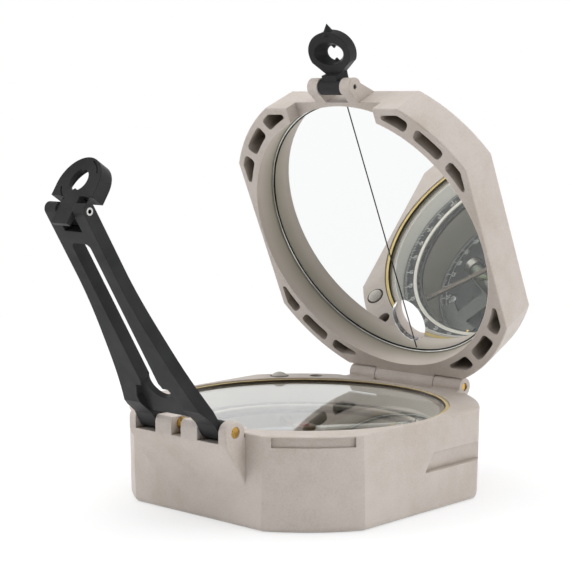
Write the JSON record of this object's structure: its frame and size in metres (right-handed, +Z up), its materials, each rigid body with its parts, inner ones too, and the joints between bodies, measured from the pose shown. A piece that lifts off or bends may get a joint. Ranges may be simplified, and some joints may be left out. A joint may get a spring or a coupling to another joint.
{
  "type": "inclinometer",
  "caption": "Pocket transit inclinometer: square-cornered compass case with mirrored lid, folding sighting arm, peep leaf and small sight, level tube and clinometer inside.",
  "frame": {"origin": "centre of the underside of the case, on the needle pivot axis, at the level of the face it stands on", "axes": "+Z up through the needle pivot, +Y from the sighting-arm hinge towards the lid hinge, +X along the hinge pins"},
  "size_m": [0.073, 0.1237, 0.1121],
  "materials": {
    "case_alloy": "satin stoved grey-beige over cast alloy",
    "sight_black": "dark grey satin",
    "pin_brass": "turned",
    "bezel_brass": "polished",
    "steel": "satin",
    "clear_glass": "polished",
    "gasket": "matt",
    "mirror_silver": "silvered",
    "line_black": "matt",
    "plate_black": "fine textured matt",
    "dial_black": "matt with white graduations",
    "dial_carrier": "machined",
    "needle_steel": "bright",
    "needle_white": "gloss",
    "jewel": "polished",
    "bracket_alloy": "satin",
    "spirit": "clear liquid",
    "bubble": "clear"
  },
  "bodies": {
    "case": {"case_body": "case_alloy", "case_floor": "case_alloy", "arm_hinge_pin": "pin_brass", "lid_hinge_pin": "pin_brass", "scale_plate": "plate_black", "plate_screw_1": "steel", "plate_screw_2": "steel", "plate_screw_3": "steel", "pinion_bush": "pin_brass", "index_pin": "pin_brass", "brake_pin": "steel", "glass_gasket": "gasket", "glass_crystal": "clear_glass", "bezel_ring": "bezel_brass"},
    "lid": {"lid_shell": "case_alloy", "mirror_clip": "steel", "mirror_gasket": "gasket", "mirror_glass": "mirror_silver", "mirror_window": "clear_glass", "sight_line": "line_black", "sight_pin": "steel"},
    "small_sight": {"small_sight": "sight_black"},
    "arm": {"sight_arm": "sight_black", "leaf_pin": "steel"},
    "peep_leaf": {"peep_leaf": "sight_black"},
    "dial": {"dial_gear": "dial_carrier", "dial_ring": "dial_black", "dial_trim": "dial_carrier"},
    "pinion": {"adjusting_pinion": "pin_brass"},
    "needle": {"needle_north": "needle_white", "needle_south": "needle_steel", "needle_cap": "pin_brass", "needle_jewel": "jewel", "needle_weight": "pin_brass"},
    "clinometer": {"clino_hub": "pin_brass", "hub_bush": "pin_brass", "level_bracket": "bracket_alloy", "needle_pivot": "steel", "outside_lever": "bracket_alloy", "lever_screw": "steel", "bracket_screw_1": "steel", "bracket_screw_2": "steel", "tube_vial": "clear_glass", "tube_spirit": "spirit", "tube_bubble": "bubble", "tube_cap_a": "pin_brass", "tube_cap_b": "pin_brass", "round_cup": "pin_brass", "round_glass": "clear_glass", "round_spirit": "spirit", "round_bubble": "bubble"},
    "brake_button": {"brake_button": "steel"},
    "brake_lever": {"brake_lever": "steel"}
  },
  "joints": [
    {"name": "lid_hinge", "type": "hinge", "parent": "case", "child": "lid", "pos_m": [0, 0.0402, 0.0222], "axis": [-1, 0, 0], "range_deg": [-55.7, 84.3]},
    {"name": "sight_hinge", "type": "hinge", "parent": "lid", "child": "small_sight", "pos_m": [0, 0.01031, 0.09714], "axis": [-1, 0, 0], "range_deg": [-72, 38]},
    {"name": "arm_hinge", "type": "hinge", "parent": "case", "child": "arm", "pos_m": [0, -0.0396, 0.022], "axis": [-1, 0, 0], "range_deg": [-56.78, 109.22]},
    {"name": "leaf_hinge", "type": "hinge", "parent": "arm", "child": "peep_leaf", "pos_m": [0, -0.07219, 0.07133], "axis": [1, 0, 0], "range_deg": [-25.88, 64.12]},
    {"name": "dial_turn", "type": "hinge", "parent": "case", "child": "dial", "pos_m": [0, 0, 0.0127], "axis": [0, 0, 1], "continuous": true},
    {"name": "pinion_turn", "type": "hinge", "parent": "case", "child": "pinion", "pos_m": [-0.02819, -0.01026, 0.0097], "axis": [-0.9397, -0.342, 0], "continuous": true},
    {"name": "needle_swing", "type": "hinge", "parent": "case", "child": "needle", "pos_m": [0, 0, 0.014], "axis": [0, 0, 1], "continuous": true},
    {"name": "clinometer_turn", "type": "hinge", "parent": "case", "child": "clinometer", "pos_m": [0, 0, 0.003], "axis": [0, 0, 1], "range_deg": [-90, 90]},
    {"name": "button_press", "type": "slide", "parent": "case", "child": "brake_button", "axis": [0, 0, 1], "range_m": [-0.0008, 0], "stiffness_N_per_m": 800},
    {"name": "brake_rise", "type": "hinge", "parent": "case", "child": "brake_lever", "pos_m": [-0.02632, 0.02056, 0.01135], "axis": [-0.6157, -0.788, 0], "range_deg": [0, 0.7]}
  ],
  "couplings": [
    {"joint": "pinion_turn", "follows": "dial_turn", "ratio": -10},
    {"joint": "brake_rise", "follows": "button_press", "rad_per_m": -15.1}
  ]
}
